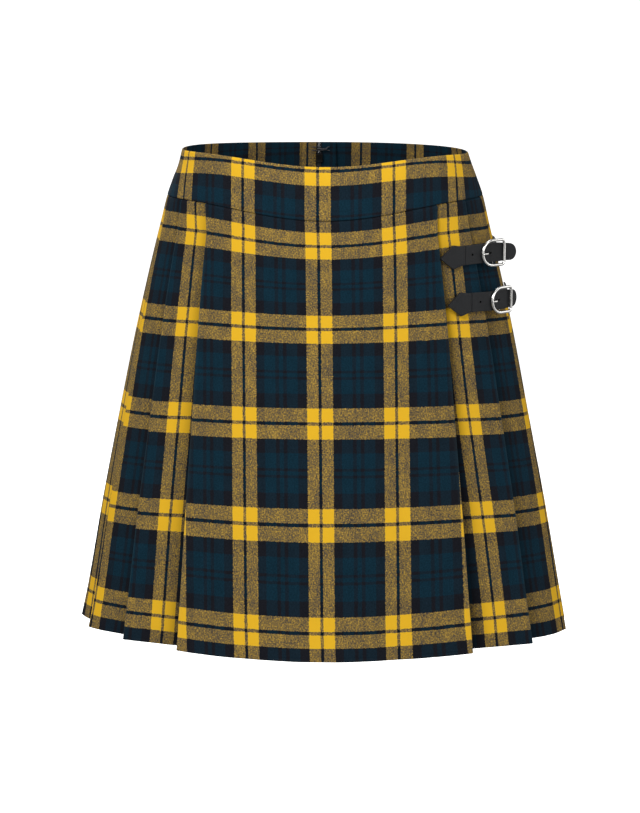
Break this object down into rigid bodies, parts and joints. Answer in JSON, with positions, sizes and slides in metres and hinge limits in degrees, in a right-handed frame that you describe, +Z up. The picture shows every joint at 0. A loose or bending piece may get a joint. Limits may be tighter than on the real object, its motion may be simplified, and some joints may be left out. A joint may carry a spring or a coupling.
{
  "type": "plaid skirt",
  "caption": "Short A-line pleated skirt in plaid cloth with a shaped waistband, flat front apron, knife pleats and leather buckle straps on one hip.",
  "frame": {"origin": "middle of the waist opening, level with the waistband's top at the sides", "axes": "+Z up towards the wearer's head, -Y to the front of the skirt, +X to the hip with the buckles"},
  "size_m": [0.4413, 0.2951, 0.4326],
  "materials": {
    "plaid_cloth": "brushed twill, plaid in mustard yellow, petrol and black",
    "black_leather": "smooth, edge stitched",
    "bright_steel": "polished",
    "zip_metal": "dark satin",
    "zip_tape": "woven tape"
  },
  "bodies": {
    "skirt": {"yoke_front": "plaid_cloth", "yoke_back_left": "plaid_cloth", "yoke_back_right": "plaid_cloth", "skirt_front": "plaid_cloth", "skirt_back_left": "plaid_cloth", "skirt_back_right": "plaid_cloth", "strap_upper": "black_leather", "strap_lower": "black_leather", "anchor_upper": "black_leather", "anchor_lower": "black_leather", "buckle_upper": "bright_steel", "buckle_lower": "bright_steel", "pin_upper": "bright_steel", "pin_lower": "bright_steel", "zip_slider": "zip_metal", "waist_hook": "zip_metal", "waist_eye": "zip_metal", "zip_tape_left": "zip_tape", "zip_tape_right": "zip_tape"},
    "zip_pull": {"zip_pull": "zip_metal"}
  },
  "joints": [
    {"name": "zip_pull_swing", "type": "hinge", "parent": "skirt", "child": "zip_pull", "pos_m": [-0.0052, 0.09818, -0.01537], "axis": [1, 0, 0], "range_deg": [0, 150]}
  ]
}
